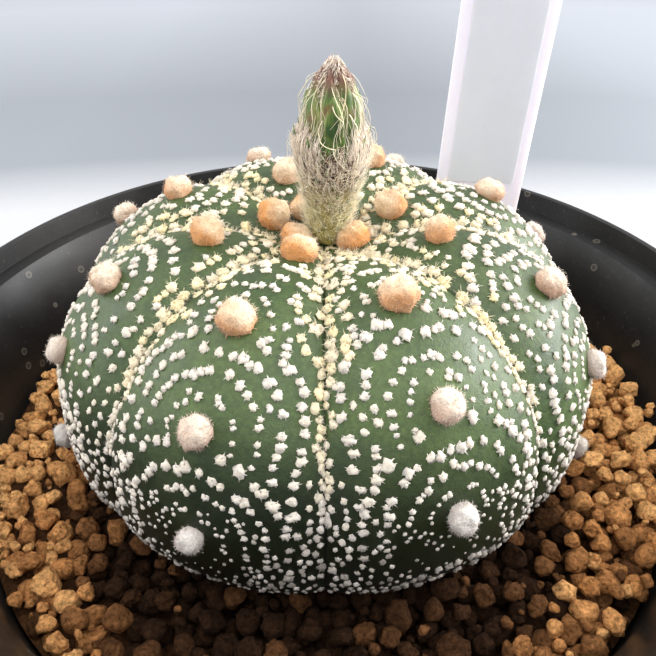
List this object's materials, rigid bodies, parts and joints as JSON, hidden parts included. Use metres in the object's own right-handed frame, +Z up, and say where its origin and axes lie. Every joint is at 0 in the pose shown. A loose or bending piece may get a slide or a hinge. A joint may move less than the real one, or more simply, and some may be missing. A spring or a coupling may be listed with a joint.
{
  "type": "potted star cactus",
  "caption": "Low ribbed spineless cactus with woolly areoles, white flecks and a flower bud, in a round plastic pot of clay granules with a blank plant label.",
  "frame": {"origin": "centre of the pot's foot, on the plane that the pot stands on", "axes": "+Z up through the pot and the cactus; the side to look at faces -Y, and the plant label stands behind on the +X side"},
  "size_m": [0.1308, 0.1308, 0.1722],
  "materials": {
    "pot_plastic": "satin black moulded plastic with dust and dried water marks",
    "clay_granules": "dry porous baked clay",
    "cactus_skin": "satin green skin with white woolly flecks and tan felt areoles",
    "bud_wool": "grey-white wool over green pointed scales",
    "bud_petals": "green closed petals, slightly glossy, with fine hairs",
    "label_plastic": "smooth white plastic, faintly lilac",
    "label_tape": "blank white adhesive strip, satin"
  },
  "bodies": {
    "root": {"pot": "pot_plastic", "soil": "clay_granules", "cactus_body": "cactus_skin", "flower_bud_tube": "bud_wool", "flower_bud_petals": "bud_petals", "plant_label": "label_plastic", "label_tape": "label_tape"}
  },
  "joints": []
}
